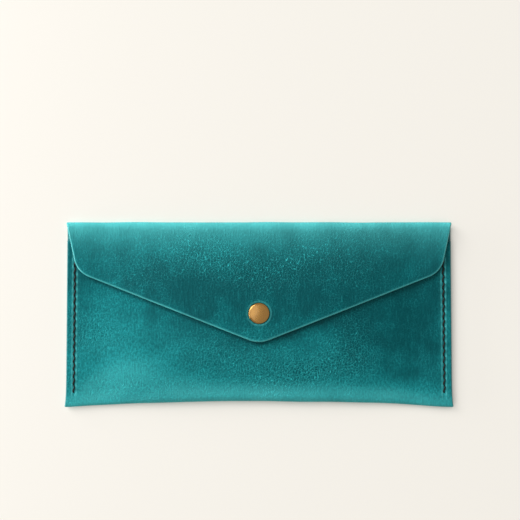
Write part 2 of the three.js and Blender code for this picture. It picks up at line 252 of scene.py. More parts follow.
def pull_up_leather(colours):
    """Waxed pull-up leather, drum-dyed: deep where the wax lies thick, pale where bending draws it thin. Its
    marks also paint light: sheen on folds, edges and lit spots, and shade on the side away from the light.
    """
    material, tree, shader = new_material("pull_up_leather")
    place = blank_millimetres(tree)
    pale_and_highlight = add_node(tree, "Attribute", {"attribute_name": "pale_and_highlight"}, {}, "Fac")
    handled_and_lit = add_node(tree, "Attribute", {"attribute_name": "handled_and_lit"}, {}, "Fac")
    creased = add_node(tree, "Attribute", {"attribute_name": "creased"}, {}, "Fac")

    # The patterns
    cloud = add_node(tree, "TexNoise", FLAT, {"Vector": place, "Scale": 1 / CLOUD, "Detail": 3})
    patch = add_node(tree, "TexNoise", FLAT, {"Vector": place, "Scale": 1 / PATCH, "Detail": 4})
    fine = {"Scale": 1, "Roughness": 0.6}
    pore_place = add_node(tree, "VectorMath", TIMES, {0: place, 1: (1 / PORE, PORE_STRETCH / PORE, 1)})
    pore = add_node(tree, "TexNoise", FLAT, {"Vector": pore_place, "Detail": 2, **fine})
    drag_place = add_node(tree, "VectorMath", TIMES, {0: place, 1: (1 / DRAG_WIDTH, 1 / DRAG_LENGTH, 1)})
    drag = add_node(tree, "TexNoise", FLAT, {"Vector": drag_place, "Detail": 3, **fine})
    warp = add_node(tree, "TexNoise", FLAT, {"Vector": place, "Scale": 1 / WARP, "Detail": 2}, "Color")
    reach = (WARP_REACH, WARP_REACH, 0)
    bent = add_node(tree, "VectorMath", TIMES_PLUS, {0: warp, 1: reach, 2: place})
    net = {"voronoi_dimensions": "2D", "feature": "DISTANCE_TO_EDGE"}
    cells = add_node(tree, "TexVoronoi", net, {"Vector": bent, "Scale": 1 / GRAIN}, "Distance")
    crease = add_node(tree, "MapRange", EASED, {"Value": cells, "From Max": 0.15, "To Min": 1, "To Max": 0})
    sunk = add_node(tree, "MapRange", EASED, {"Value": cells, "From Min": 0.12, "From Max": 0.4})

    # How thick the dye lies, and how thin the wax is drawn; the spots of the front add painted light and
    # painted shade to both
    dye = add_node(tree, "Math", TIMES, {0: cloud, 1: 0.6})
    dye = add_node(tree, "Math", TIMES_PLUS, {0: patch, 1: 0.4, 2: dye})
    dye = add_node(tree, "Math", TIMES_PLUS, {0: handled_and_lit, 1: 0.22, 2: dye})
    dyed = add_node(tree, "MapRange", EASED, {"Value": dye, "From Min": 0.34, "From Max": 0.72})
    thin = add_node(tree, "Math", TIMES, {0: patch, 1: 0.35})
    thin = add_node(tree, "Math", TIMES_PLUS, {0: handled_and_lit, 1: 0.5, 2: thin})
    drawn = add_node(
        tree, "MapRange", EASED, {"Value": thin, "From Min": 0.1, "From Max": 0.85, "To Max": 0.9}
    )
    streaks = add_node(
        tree, "MapRange", EASED, {"Value": drag, "From Min": 0.5, "From Max": 0.78, "To Max": 0.2}
    )

    # How far the grain has opened, with its pores and creases
    loose = {"Value": patch, "From Min": 0.4, "From Max": 0.65, "To Min": 0.04, "To Max": 0.17}
    opened = add_node(tree, "MapRange", EASED, loose)
    opened = add_node(tree, "Math", TIMES_PLUS, {0: creased, 1: 0.85, 2: opened})
    broken = {"Value": pore, "From Min": 0.35, "From Max": 0.65, "To Min": 0.45, "To Max": 1.1}
    opened = add_node(tree, "Math", TIMES, {0: opened, 1: add_node(tree, "MapRange", EASED, broken)})
    deep_pores = {"Value": pore, "From Min": 0.36, "From Max": 0.6, "To Min": 0.45, "To Max": 0}
    pits = add_node(tree, "MapRange", EASED, deep_pores)
    pits = add_node(tree, "Math", TIMES_PLUS, {0: sunk, 1: opened, 2: pits})
    lines = add_node(tree, "Math", TIMES, {0: crease, 1: opened})

    # The pale bloom of folds and of places that hands rub most, which also paints the sheen of folds, of the
    # flap's edge and of lit spots
    uneven = {"Value": patch, "From Min": 0.25, "From Max": 0.75, "To Min": 0.85, "To Max": 1.15}
    rubbed_and_lit = {"Value": handled_and_lit, "From Min": 0.7, "From Max": 1.3, "To Max": 0.2}
    bloom_and_sheen = add_node(tree, "Math", TIMES, {0: pale_and_highlight, 1: add_node(tree, "MapRange", EASED, uneven)})
    bloom_and_sheen = add_node(tree, "Math", PLUS, {0: bloom_and_sheen, 1: add_node(tree, "MapRange", EASED, rubbed_and_lit)})

    shade = tuple(colours.deep)
    for amount, stain in (
        (dyed, colours.teal),
        (drawn, colours.pale),
        (streaks, colours.pale),
        (pits, colours.deep),
        (lines, colours.line),
        (bloom_and_sheen, colours.worn_and_sheen),
    ):
        parts = {FACTOR: amount, FIRST: shade, SECOND: tuple(stain)}
        shade = add_node(tree, "Mix", COLOUR_MIX, parts, MIXED)
    matt = {"Value": patch, "From Min": 0.3, "From Max": 0.7, "To Min": 0.46, "To Max": 0.58}
    rough = add_node(tree, "MapRange", EASED, matt)
    relief = add_node(tree, "Math", TIMES_PLUS, {0: pore, 1: 0.36, 2: lines})
    relief = add_node(tree, "Math", TIMES_PLUS, {0: drag, 1: 0.3, 2: relief})
    bump = add_node(tree, "Bump", {}, {"Strength": 1.0, "Distance": 0.4 * MM, "Height": relief})
    feed(tree, shader, {"Base Color": shade, "Roughness": rough, "Normal": bump})
    feed(tree, shader, {"IOR": LEATHER_IOR, "Specular IOR Level": 0.07})
    return material


def napped_flesh(colours):
    """The split back of the skin: matt, with a short nap that breaks up the light."""
    material, tree, shader = new_material("napped_flesh")
    place = blank_millimetres(tree)
    tufts = {"Vector": place, "Scale": 1 / NAP, "Detail": 6, "Roughness": 0.7}
    nap = add_node(tree, "TexNoise", FLAT, tufts)
    patches = {"Vector": place, "Scale": 1 / NAP_PATCH, "Detail": 4, "Roughness": 0.55}
    patch = add_node(tree, "TexNoise", FLAT, patches)
    lying = add_node(tree, "Math", TIMES_PLUS, {0: patch, 1: 0.5, 2: nap})
    amount = add_node(tree, "MapRange", {}, {"Value": lying, "From Min": 0.5})
    parts = {FACTOR: amount, FIRST: tuple(colours.teal), SECOND: tuple(colours.flesh)}
    shade = add_node(tree, "Mix", COLOUR_MIX, parts, MIXED)
    bump = add_node(tree, "Bump", {}, {"Strength": 1.0, "Distance": 0.35 * MM, "Height": nap})
    feed(tree, shader, {"Base Color": shade, "Normal": bump, "Roughness": 0.95, "Sheen Weight": 0.25})
    feed(tree, shader, {"IOR": LEATHER_IOR, "Specular IOR Level": 0.15})
    return material


def burnished_edge(colours):
    """A cut edge rubbed smooth with wax: a little shinier than the face, and paler where the pale mark is
    strong, which is partly a painted highlight on the lit edge.
    """
    material, tree, shader = new_material("burnished_edge")
    fibres = {"Vector": blank_millimetres(tree), "Scale": 1 / EDGE_FIBRE, "Detail": 4}
    fibre = add_node(tree, "TexNoise", FLAT, fibres)
    pale_and_highlight = add_node(tree, "Attribute", {"attribute_name": "pale_and_highlight"}, {}, "Fac")
    parts = {FACTOR: fibre, FIRST: tuple(colours.edge), SECOND: tuple(colours.pale)}
    rubbed_and_lit = add_node(tree, "Mix", COLOUR_MIX, parts, MIXED)
    parts = {FACTOR: pale_and_highlight, FIRST: tuple(colours.teal), SECOND: rubbed_and_lit}
    shade = add_node(tree, "Mix", COLOUR_MIX, parts, MIXED)
    bump = add_node(tree, "Bump", {}, {"Strength": 0.4, "Distance": 0.1 * MM, "Height": fibre})
    feed(tree, shader, {"Base Color": shade, "Normal": bump, "IOR": LEATHER_IOR, "Roughness": 0.42})
    return material


def waxed_linen(colours):
    """Waxed twisted thread: nearly black, with small glints where the wax is polished."""
    material, tree, shader = new_material("waxed_linen")
    fibres = {"Vector": object_place(tree), "Scale": 1 / (THREAD_FIBRE * MM), "Detail": 3}
    fibre = add_node(tree, "TexNoise", {}, fibres)
    parts = {FACTOR: fibre, FIRST: tuple(colours.thread), SECOND: tuple(colours.wax)}
    shade = add_node(tree, "Mix", COLOUR_MIX, parts, MIXED)
    bump = add_node(tree, "Bump", {}, {"Strength": 0.5, "Distance": 0.05 * MM, "Height": fibre})
    feed(tree, shader, {"Base Color": shade, "Normal": bump, "Roughness": 0.55})
    feed(tree, shader, {"IOR": 1.5, "Specular IOR Level": 0.2})
    return material


def tumbled_brass(colours):
    """Pressed brass, tumbled and lacquered: satin, with faint darker tarnish."""
    material, tree, shader = new_material("tumbled_brass")
    spots = {"Vector": object_place(tree), "Scale": 1 / (TARNISH_SPOT * MM), "Detail": 5, "Roughness": 0.65}
    tarnish = add_node(tree, "TexNoise", {}, spots)
    amount = add_node(
        tree, "MapRange", {}, {"Value": tarnish, "From Min": 0.45, "From Max": 0.8, "To Max": 0.45}
    )
    parts = {FACTOR: amount, FIRST: tuple(colours.brass), SECOND: tuple(colours.tarnish)}
    shade = add_node(tree, "Mix", COLOUR_MIX, parts, MIXED)
    rough = add_node(tree, "MapRange", {}, {"Value": tarnish, "To Min": 0.18, "To Max": 0.34})
    bump = add_node(tree, "Bump", {}, {"Strength": 0.15, "Distance": 0.05 * MM, "Height": tarnish})
    feed(tree, shader, {"Base Color": shade, "Roughness": rough, "Normal": bump})
    feed(tree, shader, {"Metallic": 1, "Coat Weight": 0.35, "Coat Roughness": 0.1})
    return material


def spring_wire(colours):
    """Drawn steel wire: bright, with fine lines along the draw."""
    material, tree, shader = new_material("spring_wire")
    lines = {"Vector": object_place(tree), "Scale": 1 / (DRAW_LINE * MM)}
    drawn = add_node(tree, "TexNoise", {}, lines)
    rough = add_node(tree, "MapRange", {}, {"Value": drawn, "To Min": 0.2, "To Max": 0.4})
    feed(tree, shader, {"Base Color": tuple(colours.steel), "Roughness": rough, "Metallic": 1})
    return material


def material_named(name, make):
    """The material of that name, made the first time it is asked for."""
    found = bpy.data.materials.get(name)
    return found or make(bpy.context.scene.wallet_colours)


# The form of the filled wallet. Shares across it run from 0 in the middle to 1 at the side edges, and shares
# along it from 0 at the bottom fold to 1 at the mouth.
# Where the sides start to curl up, and where they are pinched together
LIFT_START = 0.78
PINCHED = 0.95
# How full the pocket is at the bottom fold and at the mouth, and where it is fullest
BOTTOM_SHARE = 0.6
MOUTH_SHARE = 0.76
DEEPEST = 0.4
# Rounds in which the top fold's radius settles on the flap below it
FOLD_FITS = 4


def smooth(low, high, value):
    """Rises from 0 at low to 1 at high, level at both ends."""
    share = np.clip((value - low) / (high - low), 0, 1)
    return share * share * (3 - 2 * share)


def hump(distance, reach):
    """1 at no distance, and nearly gone at twice the reach."""
    return np.exp(-((distance / reach) ** 2))


def bell_across(across, end):
    """1 in the middle and 0 past the end, flat at first and steep later."""
    share = np.minimum(across / end, 1)
    return (1 - share**3) ** 1.5


class Form:
    """The surfaces that the folded skin follows, from the sizes in the sidebar"""

    def __init__(self, leather, flap):
        self.leather = leather
        self.flap = flap
        self.mouth_y = TOP - leather.mouth

    def lift(self, across):
        """Height of the back panel over the table."""
        return self.leather.seam_lift * smooth(LIFT_START, PINCHED, across)

    def fill(self, along):
        """How full the pocket is, as a share of its depth."""
        early = BOTTOM_SHARE + (1 - BOTTOM_SHARE) * (1 - np.cos(math.pi * along / DEEPEST)) / 2
        past = np.clip((along - DEEPEST) / (1 - DEEPEST), 0, 1)
        late = MOUTH_SHARE + (1 - MOUTH_SHARE) * (1 + np.cos(math.pi * past)) / 2
        return np.where(along < DEEPEST, early, late)

    def gap(self, across, along):
        """Room between the panels."""
        depth = self.leather.pocket * bell_across(across, PINCHED) * self.fill(along)
        return self.leather.layer_gap + depth

    def bottom_fold(self, across):
        """Radius and centre of the bottom fold."""
        radius = self.leather.skin + self.gap(across, np.zeros_like(across)) / 2
        y = BOTTOM + self.leather.bottom_rise * bell_across(across, 1) + radius
        return radius, y, self.lift(across) + radius

    def half_width(self, y):
        """Distance of the side edge from the middle, at that height."""
        sizes = self.leather
        share = (y - BOTTOM) / (TOP - BOTTOM)
        corner = sizes.corner_flare * np.exp(-(y - BOTTOM) / sizes.corner_length)
        shoulder = sizes.fold_flare * np.exp(-(TOP - y) / sizes.fold_length)
        return sizes.width / 2 - sizes.corner_flare - sizes.side_taper * share + corner + shoulder

    def from_snap(self, across, y):
        """Distance from the snap's axis."""
        return np.hypot(across * self.half_width(y), y - SNAP_Y)

    def plain_front(self, across, y):
        """Inner face of the front panel, before the snap dents it."""
        start = self.bottom_fold(across)[1]
        along = np.maximum((y - start) / (self.mouth_y - start), 0)
        return self.lift(across) + self.leather.skin + self.gap(across, along)

    def front_inner(self, across, y):
        """Inner face of the front panel."""
        dent = self.leather.snap_dent * hump(self.from_snap(across, y), self.leather.dent_radius)
        return self.plain_front(across, y) - dent

    def flap_inner(self, across, y):
        """Inner face of the flap."""
        sizes = self.leather
        swell = sizes.flap_swell * hump(self.from_snap(across, y), sizes.swell_radius)
        return self.plain_front(across, y) + sizes.skin + sizes.hover + swell

    def top_fold(self, across):
        """Radius and centre of the top fold."""
        back, skin = self.lift(across), self.leather.skin
        mouth = np.full_like(across, self.mouth_y)
        radius = (self.plain_front(across, mouth) + 2 * skin + self.leather.hover - back) / 2
        for _ in range(FOLD_FITS):
            radius = (self.flap_inner(across, TOP - radius) + skin - back) / 2
        return radius, TOP - radius, back + radius


# Distances of the first points from a cut edge, close enough to round it
EDGE_RINGS = np.array([0, 0.06, 0.16, 0.32, 0.52, 0.8]) * MM
# Columns: how far past the stitch line they are close, how far beside the snap, and their steps
SEAM_ZONE = 1.6 * MM
SNAP_ZONE = 8 * MM
SEAM_STEP = 0.42 * MM
SNAP_STEP = 0.45 * MM
COLUMN_STEP = 1.5 * MM
# Rows along the seams, above them up to the mouth, on the flap and round half a turn of a fold
ROWS_PER_STITCH = 4
MOUTH_STEP = 0.6 * MM
FLAP_STEP = 0.55 * MM
FOLD_STEPS = 20
# A length that only just passes a whole number of steps isn't given one more.
HAIR = 1e-6


def spaced(start, end, step):
    """Evenly spaced values from start to end, at most a step apart."""
    count = max(1, math.ceil(abs(end - start) / step - HAIR))
    return np.linspace(start, end, count + 1)


def columns(stitch, middle_step=COLUMN_STEP):
    """Places across the skin, -1 to 1: close together at the edges, at the seams and beside the snap."""
    half = BLANK_WIDTH / 2
    seam_end = stitch.margin + SEAM_ZONE
    fine = spaced(EDGE_RINGS[-1], seam_end, SEAM_STEP)[1:]
    coarse = spaced(seam_end, half - SNAP_ZONE, COLUMN_STEP)[1:]
    middle = spaced(half - SNAP_ZONE, half, middle_step)[1:-1]
    from_edge = np.concatenate([EDGE_RINGS, fine, coarse, middle])
    side = 1 - from_edge / half
    return np.concatenate([-side, [0.0], side[::-1]])


def seam_rows(stitch):
    """Heights of the rows that run through the stitching."""
    start = BOTTOM + stitch.start
    return start + np.arange(stitch.count * ROWS_PER_STITCH + 1) * stitch.pitch / ROWS_PER_STITCH


def ripple(x, s, height):
    """Slow uneven waves that a worn skin keeps: about 80 mm long, with shorter ones of about 30 mm."""
    long_wave = np.sin(x / (12.5 * MM) + 1.4 * np.sin(s / (23.1 * MM))) * np.cos(s / (14.8 * MM) + 0.7)
    short_wave = np.sin(x / (5.2 * MM) + 0.9) * np.sin(s / (8.3 * MM) + 1.1 * np.sin(x / (19 * MM)))
    return height * (0.7 * long_wave + 0.3 * short_wave)


# Spots on the front, each with its middle and its reach in millimetres, its lean in degrees and its strength
# Here hands have rubbed the wax thin, and here light and shade are painted: spots on the left and lower front
# also paint a sheen where the light falls brightest, and those whose strength is below 0 paint shade on the
# right, away from the light.
RUBBED_AND_LIT = (
    ((-80, -37), (28, 9), 24, 0.95),
    ((-84, -14), (22, 14), 0, 0.5),
    ((-70, -2), (24, 12), -18, 0.35),
    ((-60, 36), (44, 9), 0, 0.2),
    ((-24, 31), (22, 11), -14, 0.6),
    ((26, 32), (24, 9), 18, 0.3),
    ((4, -40), (70, 7), 0, 0.72),
    ((76, -42), (26, 6), -8, 0.65),
    ((-44, -35), (18, 7), 0, 0.3),
    ((18, 38), (46, 7), 0, 0.3),
    ((10, -18), (110, 22), 0, 0.12),
    ((34, -20), (10, 16), 10, 0.25),
    ((-20, -28), (100, 18), 0, 0.5),
    ((68, -8), (26, 16), 0, -0.3),
    ((97, -6), (4.5, 44), 0, 0.6),
    ((30, 12), (60, 20), 0, -0.5),
    ((70, 24), (28, 16), 0, -0.5),
)
# Here bending has opened the grain into fine creases.
CREASED = (
    ((-24, 30), (24, 9), -18, 1.0),
    ((20, 29), (22, 8), 24, 0.8),
    ((-10, -22), (30, 14), 0, 0.5),
    ((24, -30), (26, 8), 12, 0.85),
    ((46, -18), (12, 16), 0, 0.5),
    ((-60, -38), (40, 7), 0, 0.5),
    ((-84, -10), (16, 10), 0, 0.5),
    ((60, 40), (36, 6), 0, 0.3),
    ((-64, 24), (20, 12), 0, 0.35),
    ((46, 26), (20, 10), 0, 0.35),
)
# How much thicker the wax stays where the flap covers the front
SHELTERED_WAX = 0.9
# The least and the most that spots may add up to
FAINTEST = -0.6
STRONGEST = 1.3
# How far the paleness of the top fold reaches down: partly wear of the bend, partly painted light on the fold
# that faces the lamps
FOLD_WEAR_AND_SHEEN_REACH = 6.2 * MM


def spotted(spots, x, y):
    """How strongly those spots mark a place."""
    total = np.zeros_like(x)
    for (middle_x, middle_y), (reach_x, reach_y), lean, strength in spots:
        turn = math.radians(lean)
        aside, above = x / MM - middle_x, y / MM - middle_y
        first = aside * math.cos(turn) + above * math.sin(turn)
        second = above * math.cos(turn) - aside * math.sin(turn)
        total = total + strength * hump(first, reach_x) * hump(second, reach_y)
    return np.clip(total, FAINTEST, STRONGEST)


def fold_wear_and_sheen(depth):
    """How pale the top fold is, by how far below the top edge it lies: wear and painted light."""
    return np.exp(-np.maximum(depth, 0) / FOLD_WEAR_AND_SHEEN_REACH)


# The thread pulls a dip at each hole and a groove between them, whose depth is a share of the dip's.
HOLE_WIDTH = 0.75 * MM
HOLE_LENGTH = 0.85 * MM
GROOVE_WIDTH = 0.7 * MM
GROOVE_SHARE = 0.45
# On both sides of it runs a pale line of stretched leather, fainter between the holes.
STRETCH = 0.96
STRETCH_ASIDE = 1.05 * MM
STRETCH_WIDTH = 0.32 * MM
STRETCH_LENGTH = 1 * MM
STRETCH_BETWEEN = 0.4


def seam_x(form, stitch, y):
    """Distance of the stitch line from the wallet's middle, at that height."""
    low_y = BOTTOM + stitch.start
    high_y = low_y + stitch.pitch * stitch.count
    low = form.half_width(low_y) - stitch.margin
    high = form.half_width(high_y) - stitch.margin
    return low + (high - low) * (y - low_y) / (high_y - low_y)


def stitch_marks(form, stitch, x, y):
    """How deep the thread pulls the face in, and how far the leather beside it is stretched pale."""
    low_y = BOTTOM + stitch.start
    seam_length = stitch.pitch * stitch.count
    beside = np.abs(x) - seam_x(form, stitch, y)
    nearest = np.clip(np.round((y - low_y) / stitch.pitch), 0, stitch.count)
    along = y - low_y - nearest * stitch.pitch
    inside = (y > low_y) & (y < low_y + seam_length)
    within = (y > low_y - stitch.pitch) & (y < low_y + seam_length + stitch.pitch)
    hole = hump(beside, HOLE_WIDTH) * hump(along, HOLE_LENGTH)
    groove = GROOVE_SHARE * hump(beside, GROOVE_WIDTH) * inside
    palest = STRETCH_BETWEEN + (1 - STRETCH_BETWEEN) * hump(along, STRETCH_LENGTH)
    stretched = STRETCH * hump(np.abs(beside) - STRETCH_ASIDE, STRETCH_WIDTH) * palest
    return stitch.pull * np.maximum(hole * within, groove), stretched * within


# How far from an edge, from the joint of the two meshes and from the snap the waves of the skin set in
WAVES_FROM_EDGE = 14 * MM
WAVES_FROM_JOINT = 6 * MM
WAVES_FROM_SNAP = (6 * MM, 26 * MM)
# Places in a leather mesh's list of materials
FACE, FLESH, EDGE = 0, 1, 2
# How much of the rounding counts as cut edge
EDGE_SHARE = 0.6


class Skin:
    """Rows of points across the skin, outer face and inner face, before they are joined into a mesh"""

    def __init__(self, form, stitch, side):
        self.form = form
        self.stitch = stitch
        self.side = side
        self.across = np.abs(side)
        self.rows = []

    def add(self, x, outer, inner, from_edge, pull=0.0, pale_and_highlight=0.0, sheltered=0.0):
        """One row: outer and inner are (y, z) for each column."""
        whole = np.ones_like(self.side)
        self.rows.append(
            {
                "x": x * whole,
                "outer": np.stack([outer[0] * whole, outer[1] * whole]),
                "inner": np.stack([inner[0] * whole, inner[1] * whole]),
                "edge": from_edge * whole,
                "pull": pull * whole,
                "pale_and_highlight": pale_and_highlight * whole,
                "sheltered": sheltered * whole,
            }
        )

    def measure(self, x, middle, s):
        """The size and area of the flat cut, taken along the middle of the leather's thickness."""
        places = np.stack([x, middle[:, 0], middle[:, 1]], axis=-1)
        along = places[1:, :-1] - places[:-1, :-1]
        beside = places[:-1, 1:] - places[:-1, :-1]
        self.area = float(np.linalg.norm(np.cross(along, beside), axis=-1).sum())
        self.flat = (float(np.ptp(x)), float(np.ptp(s[:, len(self.side) // 2])))

    def build(self, name, upwards=False):
        """The mesh. Its first row joins the other mesh, and upwards says that the rows run up the back."""
        stack = {key: np.stack([row[key] for row in self.rows]) for key in self.rows[0]}
        x, edge = stack["x"], stack["edge"]
        middle = (stack["outer"] + stack["inner"]) / 2
        half = (stack["outer"] - stack["inner"]) / 2
        step = np.hypot(np.diff(middle[:, 0], axis=0), np.diff(middle[:, 1], axis=0))
        s = np.concatenate([np.zeros((1, len(self.side))), np.cumsum(step, axis=0)])
        self.measure(x, middle, s)
        outer_face, inner_face = self.surfaces(x, s, edge, stack["pull"], middle, half)

        rim = edge <= 0
        top = np.stack([x, outer_face[:, 0], outer_face[:, 1]], axis=-1).reshape(-1, 3)
        under = np.stack([x, inner_face[:, 0], inner_face[:, 1]], axis=-1)[~rim]
        faces, slots = self.faces(edge, rim, upwards)
        mesh = bpy.data.meshes.new(name)
        mesh.from_pydata(np.concatenate([top, under]).tolist(), [], faces)
        mesh.polygons.foreach_set("material_index", slots)
        mesh.polygons.foreach_set("use_smooth", np.ones(len(faces), bool))
        self.mark(mesh, stack, middle[:, 0], s, rim)
        mesh.update()
        made = bpy.data.objects.new(name, mesh)
        bpy.context.scene.collection.objects.link(made)
        for material in leather_materials():
            mesh.materials.append(material)
        return made

    def surfaces(self, x, s, edge, pull, middle, half):
        """Outer and inner face of the skin, with its rounded edges, stitch dips and slow waves."""
        thickness = np.hypot(half[:, 0], half[:, 1])
        direction = half / thickness[:, None]
        rounding = self.form.leather.edge_round
        full = thickness * np.sqrt(1 - (1 - np.clip(edge / rounding, 0, 1)) ** 2)
        height = self.form.leather.ripple
        resting = np.clip(-direction[:, 1], 0, 1)
        wave = ripple(x, s, height) - height * resting
        wave = wave * smooth(0, WAVES_FROM_EDGE, edge) * smooth(0, WAVES_FROM_JOINT, s)
        wave = wave * smooth(*WAVES_FROM_SNAP, np.hypot(x, middle[:, 0] - SNAP_Y))
        outer_face = middle + direction * (full - pull + wave)[:, None]
        inner_face = middle + direction * (wave - full)[:, None]
        return outer_face, inner_face

    def faces(self, edge, rim, upwards):
        """Faces of the mesh and the material of each. Both sides of the skin share the points of its rim."""
        outer_id = np.arange(edge.size).reshape(edge.shape)
        inner_id = outer_id.copy()
        inner_id[~rim] = edge.size + np.arange(int((~rim).sum()))
        nearest = np.minimum.reduce([edge[:-1, :-1], edge[:-1, 1:], edge[1:, 1:], edge[1:, :-1]])
        cut = nearest.reshape(-1) < self.form.leather.edge_round * EDGE_SHARE
        quads, slots = [], []
        for ids, slot in ((outer_id, FACE), (inner_id, FLESH)):
            corners = [ids[:-1, :-1], ids[:-1, 1:], ids[1:, 1:], ids[1:, :-1]]
            if slot == FLESH:
                corners.reverse()
            quads.append(np.stack(corners, axis=-1).reshape(-1, 4))
            slots.append(np.where(cut, EDGE, slot))
        above, below = outer_id[0], inner_id[0]
        quads.append(np.stack([above[1:], above[:-1], below[:-1], below[1:]], axis=-1))
        slots.append(np.full(len(above) - 1, EDGE))
        quads = np.concatenate(quads)
        if upwards:
            quads = quads[:, ::-1]
        faces = [list(dict.fromkeys(quad)) for quad in quads.tolist()]
        keep = [i for i, face in enumerate(faces) if len(face) > 2]
        return [faces[i] for i in keep], np.concatenate(slots)[keep].astype(np.int32)

    def mark(self, mesh, stack, y, s, rim):
        """Writes the flat blank's map and the marks of each point to the mesh: its wear, with the painted
        light and shade that those marks also carry.
        """
        x = stack["x"]
        marks = {
            "pale_and_highlight": stack["pale_and_highlight"],
            "handled_and_lit": spotted(RUBBED_AND_LIT, x, y) - SHELTERED_WAX * stack["sheltered"],
            "creased": spotted(CREASED, x, y) * (1 - stack["sheltered"]),
        }
        for mark, values in marks.items():
            per_point = np.concatenate([values.reshape(-1), values[~rim]]).astype(np.float32)
            mesh.attributes.new(mark, "FLOAT", "POINT").data.foreach_set("value", per_point)
        flat = np.stack([x / BLANK_WIDTH + 0.5, s / BLANK_LENGTH + BLANK_ORIGIN], axis=-1)
        per_point = np.concatenate([flat.reshape(-1, 2), flat[~rim]])
        corners = np.zeros(len(mesh.loops), np.int32)
        mesh.loops.foreach_get("vertex_index", corners)
        blank_map = mesh.uv_layers.new(name=BLANK_MAP)
        blank_map.data.foreach_set("uv", per_point[corners].reshape(-1).astype(np.float32))


def leather_materials():
    """Face, flesh side and cut edge, in the order of their places."""
    return [
        material_named("pull_up_leather", pull_up_leather),
        material_named("napped_flesh", napped_flesh),
        material_named("burnished_edge", burnished_edge),
    ]


def on_arc(fold, skin, angle):
    """Outer and inner points of a fold at that angle from level."""
    radius, y, z = fold
    outer = (y + radius * math.cos(angle), z + radius * math.sin(angle))
    inner = (y + (radius - skin) * math.cos(angle), z + (radius - skin) * math.sin(angle))
    return outer, inner


# How pale the bottom fold is where it starts, how much paler at its middle, and how far that reaches up:
# partly pull-up wear, partly a painted reflection of the bright floor
BOTTOM_PALE = 0.26
BOTTOM_PALER = 0.28
BOTTOM_PALE_REACH = 4.2 * MM
# Where the front starts to be sheltered by the flap, and where it is fully so, above the flap's edge
SHELTER_START = -1.9 * MM
SHELTERED = -0.7 * MM
# Rows between the bottom fold and the seams, as shares of the way
BACK_BELOW_SEAM = (0.35, 0.7)
FRONT_BELOW_SEAM = (0.3, 0.65)


def body_rows(skin_of):
    """Back panel, bottom fold and front panel, from the joining line to the mouth."""
    form, stitch, across = skin_of.form, skin_of.stitch, skin_of.across
    skin = form.leather.skin
    half = BLANK_WIDTH / 2
    side_edge = (1 - across) * half
    back = form.lift(across)
    fold = form.bottom_fold(across)
    joining = TOP - form.flap.butt
    outline = flap_outline(form)
    rows = seam_rows(stitch)

    def back_row(y):
        x = skin_of.side * form.half_width(y)
        pull, stretched = stitch_marks(form, stitch, x, y)
        skin_of.add(x, (y, back), (y, back + skin), side_edge, pull, stretched)

    def front_row(y, from_mouth):
        x = skin_of.side * form.half_width(y)
        inner = form.front_inner(across, y)
        pull, stretched = stitch_marks(form, stitch, x, y)
        flap_edge = np.interp(np.abs(x), outline[::-1, 0], outline[::-1, 1])
        sheltered = smooth(SHELTER_START, SHELTERED, y - flap_edge)
        # Paleness near the bottom fold: partly pull-up wear, partly a painted reflection of the bright floor.
        bend_and_sheen = BOTTOM_PALE * hump(y - fold[1], BOTTOM_PALE_REACH)
        pale_and_highlight = np.maximum(stretched * (1 - sheltered), bend_and_sheen)
        from_edge = np.minimum(side_edge, from_mouth)
        skin_of.add(x, (y, inner + skin), (y, inner), from_edge, pull, pale_and_highlight, sheltered)

    for y in spaced(joining, rows[-1], stitch.pitch / ROWS_PER_STITCH)[:-1]:
        back_row(y)
    for y in rows[::-1]:
        back_row(y)
    for share in BACK_BELOW_SEAM:
        back_row(rows[0] + (fold[1] - rows[0]) * share)
    for step in range(FOLD_STEPS + 1):
        turned_by = math.pi * step / FOLD_STEPS
        outer, inner = on_arc(fold, skin, -math.pi / 2 - turned_by)
        width = form.half_width(outer[0])
        # Pale round the bottom fold: wear and painted reflection.
        pale_and_highlight = BOTTOM_PALE + BOTTOM_PALER * math.sin(turned_by)
        skin_of.add(skin_of.side * width, outer, inner, side_edge, 0.0, pale_and_highlight)
    for share in FRONT_BELOW_SEAM:
        front_row(fold[1] + (rows[0] - fold[1]) * share, half)
    for y in rows:
        front_row(y, half)
    last = spaced(rows[-1], form.mouth_y - EDGE_RINGS[-1], MOUTH_STEP)[1:]
    for y in np.concatenate([last, form.mouth_y - EDGE_RINGS[-2::-1]]):
        front_row(y, form.mouth_y - y)


def flap_corners(form):
    """The flap's outline on the right: centres of its two rounds, and where they start and end."""
    flap = form.flap
    shoulder = float(form.half_width(np.array(TOP)))
    side_top = Vector((shoulder, TOP))
    corner = Vector((shoulder - flap.taper, TOP - flap.side))
    tip = Vector((0, TOP - flap.reach))
    up = (side_top - corner).normalized()
    down = (tip - corner).normalized()
    half_angle = up.angle(down) / 2
    centre = corner + (up + down).normalized() * flap.corner_radius / math.sin(half_angle)
    tangent = flap.corner_radius / math.tan(half_angle)
    steep = math.atan2(-down.y, -down.x)
    tip_centre = Vector((0, tip.y + flap.tip_radius / math.cos(steep)))
    return {
        "side_top": side_top,
        "corner": corner,
        "round_start": corner + up * tangent,
        "round_end": corner + down * tangent,
        "centre": centre,
        "steep": steep,
        "tip_centre": tip_centre,
    }


CORNER_POINTS = 40
TIP_POINTS = 24


